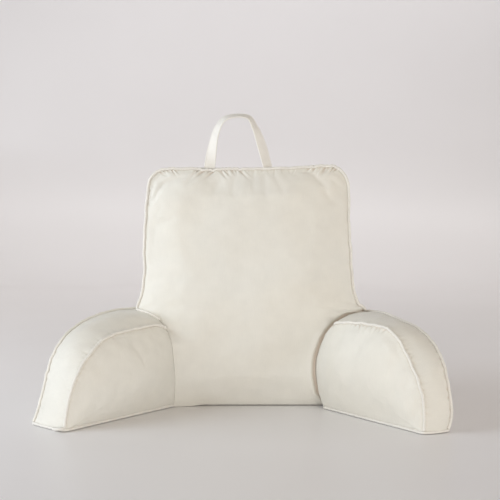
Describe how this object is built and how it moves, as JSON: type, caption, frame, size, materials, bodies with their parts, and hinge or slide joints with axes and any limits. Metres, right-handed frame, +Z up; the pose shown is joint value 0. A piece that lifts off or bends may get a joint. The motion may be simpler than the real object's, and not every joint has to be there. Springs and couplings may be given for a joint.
{
  "type": "reading pillow with arms",
  "caption": "Free-standing reading pillow: a tall boxed back with splayed, rounded arms, piped seams all round and a flat carrying strap on top.",
  "frame": {"origin": "on the surface the pillow rests on, under the middle of the whole pillow's box", "axes": "+Z up, the front of the back cushion and the open side between the arms face -Y, +X to the right as seen from the front"},
  "size_m": [0.8483, 0.5421, 0.6506],
  "materials": {
    "cover_cloth": "smooth fine weave in warm ivory with a soft satin sheen, puckered along its seams",
    "piping_cloth": "the same cloth rolled over a cord, slightly warmer, with small slanting creases",
    "strap_cloth": "flat folded strap of the same cloth, stitched along both edges"
  },
  "bodies": {
    "root": {"back_cushion": "cover_cloth", "arm_left": "cover_cloth", "arm_right": "cover_cloth", "piping_back_front": "piping_cloth", "piping_back_rear": "piping_cloth", "piping_inner_left": "piping_cloth", "piping_inner_right": "piping_cloth", "piping_outer_left": "piping_cloth", "piping_outer_right": "piping_cloth", "piping_base_left": "piping_cloth", "piping_base_right": "piping_cloth", "handle": "strap_cloth"}
  },
  "joints": []
}
